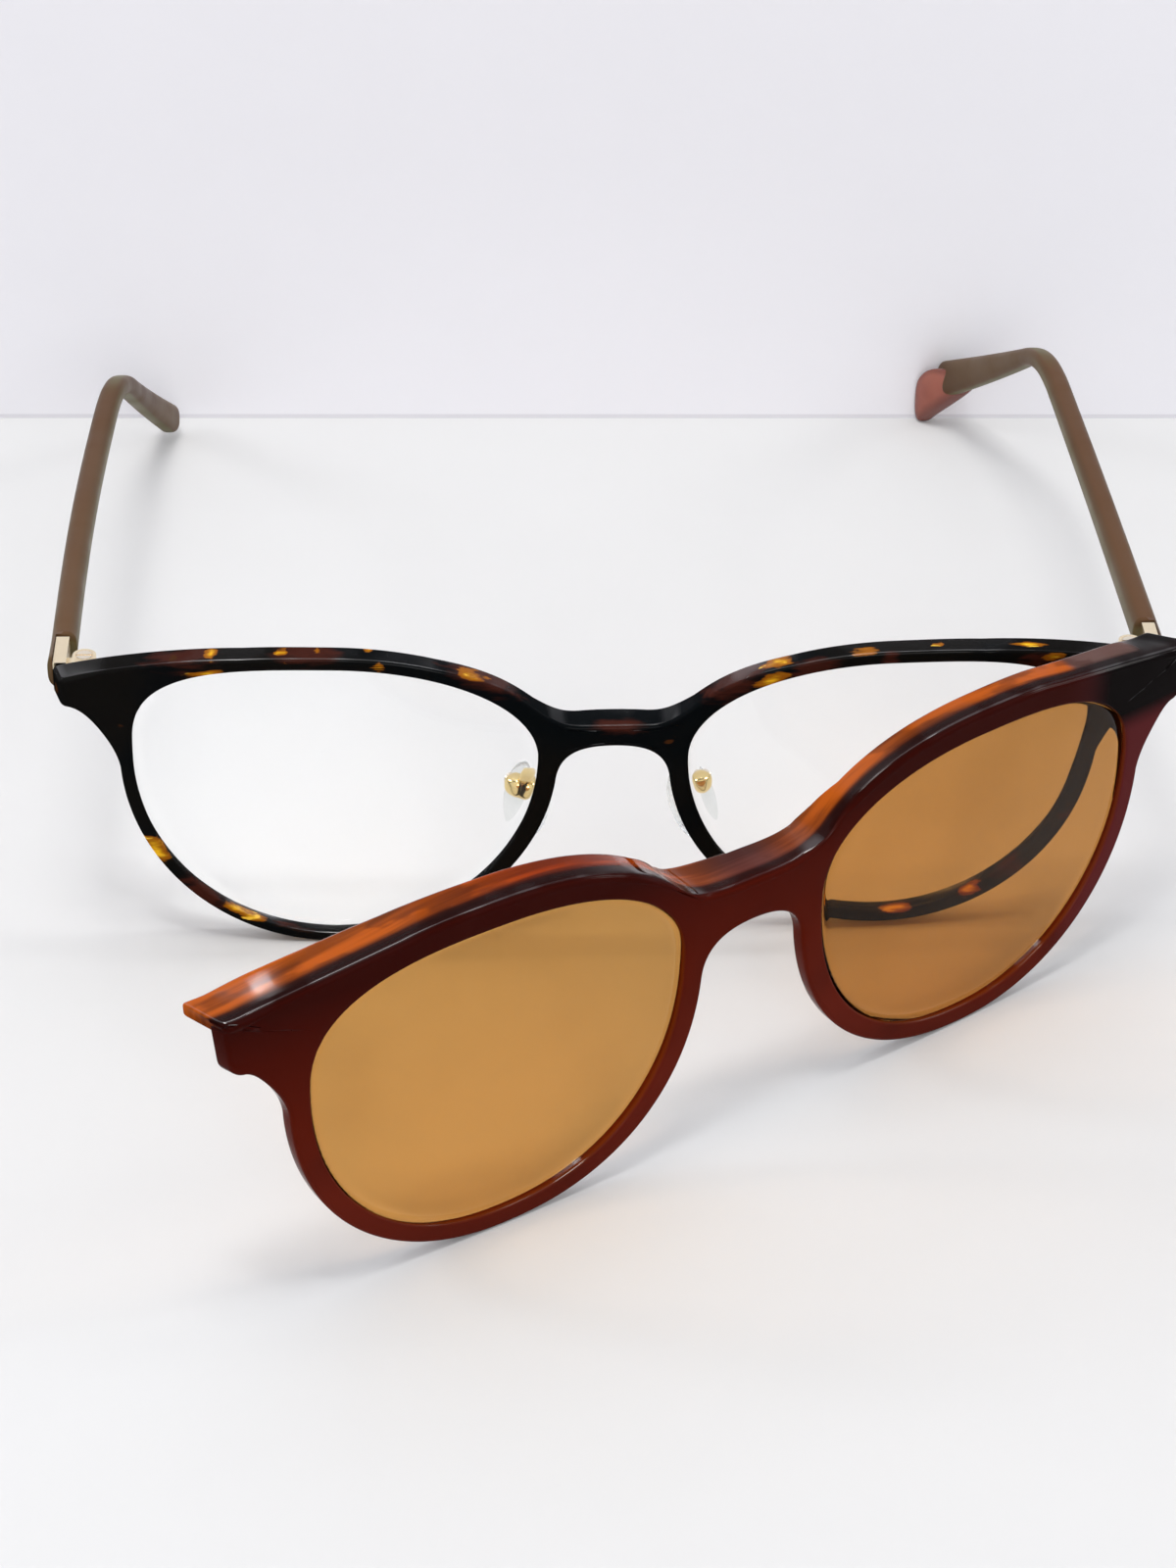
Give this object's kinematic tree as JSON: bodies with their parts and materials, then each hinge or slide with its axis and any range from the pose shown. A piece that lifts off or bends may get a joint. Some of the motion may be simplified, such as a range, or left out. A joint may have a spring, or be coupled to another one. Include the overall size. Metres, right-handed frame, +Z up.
{
  "type": "clip-on eyeglasses",
  "caption": "Round plastic eyeglasses with folding temples, rocking nose pads and a magnetic clip-on sun front drawn swung half open.",
  "frame": {"origin": "underside of the bridge, in the middle of the front face of the frame", "axes": "+X towards the wearer's left end piece, +Y back along the temples, +Z up; the glasses stand level on their rims and temple tips"},
  "size_m": [0.1393, 0.2121, 0.0452],
  "materials": {
    "tortoise": "polished tortoiseshell acetate",
    "clear_lens": "clear, coated",
    "magnet": "nickel-plated",
    "rose_gold": "satin rose gold",
    "screw": "bright",
    "pad_wire": "polished",
    "clear_pad": "clear soft plastic",
    "core": "translucent red-brown",
    "sleeve": "satin taupe",
    "clip_shell": "polished translucent red-brown",
    "sun_lens": "amber-brown tint"
  },
  "bodies": {
    "frame": {"front": "tortoise", "lens_right": "clear_lens", "lens_left": "clear_lens", "front_magnet_right": "magnet", "front_magnet_left": "magnet", "hinge_plate_right": "rose_gold", "hinge_plate_left": "rose_gold", "hinge_rivets_right": "screw", "hinge_rivets_left": "screw", "hinge_screw_right": "screw", "hinge_screw_left": "screw", "pad_arm_right": "pad_wire", "pad_arm_left": "pad_wire", "pad_screw_right": "screw", "pad_screw_left": "screw"},
    "pad_right": {"pad_insert_right": "pad_wire", "nose_pad_right": "clear_pad"},
    "pad_left": {"pad_insert_left": "pad_wire", "nose_pad_left": "clear_pad"},
    "temple_right": {"temple_block_right": "rose_gold", "temple_core_right": "core", "temple_sleeve_right": "sleeve"},
    "temple_left": {"temple_block_left": "rose_gold", "temple_core_left": "core", "temple_sleeve_left": "sleeve"},
    "clip": {"clip_frame": "clip_shell", "clip_lens_right": "sun_lens", "clip_lens_left": "sun_lens", "clip_magnet_right": "magnet", "clip_magnet_left": "magnet"}
  },
  "joints": [
    {"name": "temple_right_fold", "type": "hinge", "parent": "frame", "child": "temple_right", "pos_m": [-0.0642, 0.00819, 0.0073], "axis": [0, 0, -1], "range_deg": [0, 86]},
    {"name": "temple_left_fold", "type": "hinge", "parent": "frame", "child": "temple_left", "pos_m": [0.0642, 0.00819, 0.0073], "axis": [0, 0, 1], "range_deg": [0, 80]},
    {"name": "pad_right_rock", "type": "hinge", "parent": "frame", "child": "pad_right", "pos_m": [-0.0112, 0.008, -0.0101], "axis": [-0.6691, 0.7431, 0], "range_deg": [-8, 8]},
    {"name": "pad_left_rock", "type": "hinge", "parent": "frame", "child": "pad_left", "pos_m": [0.0112, 0.008, -0.0101], "axis": [0.6691, 0.7431, 0], "range_deg": [-8, 8]},
    {"name": "clip_swing", "type": "hinge", "parent": "frame", "child": "clip", "pos_m": [0.0661, 0.00409, 0], "axis": [0, 0, 1], "range_deg": [-32.5, 12.5]}
  ]
}
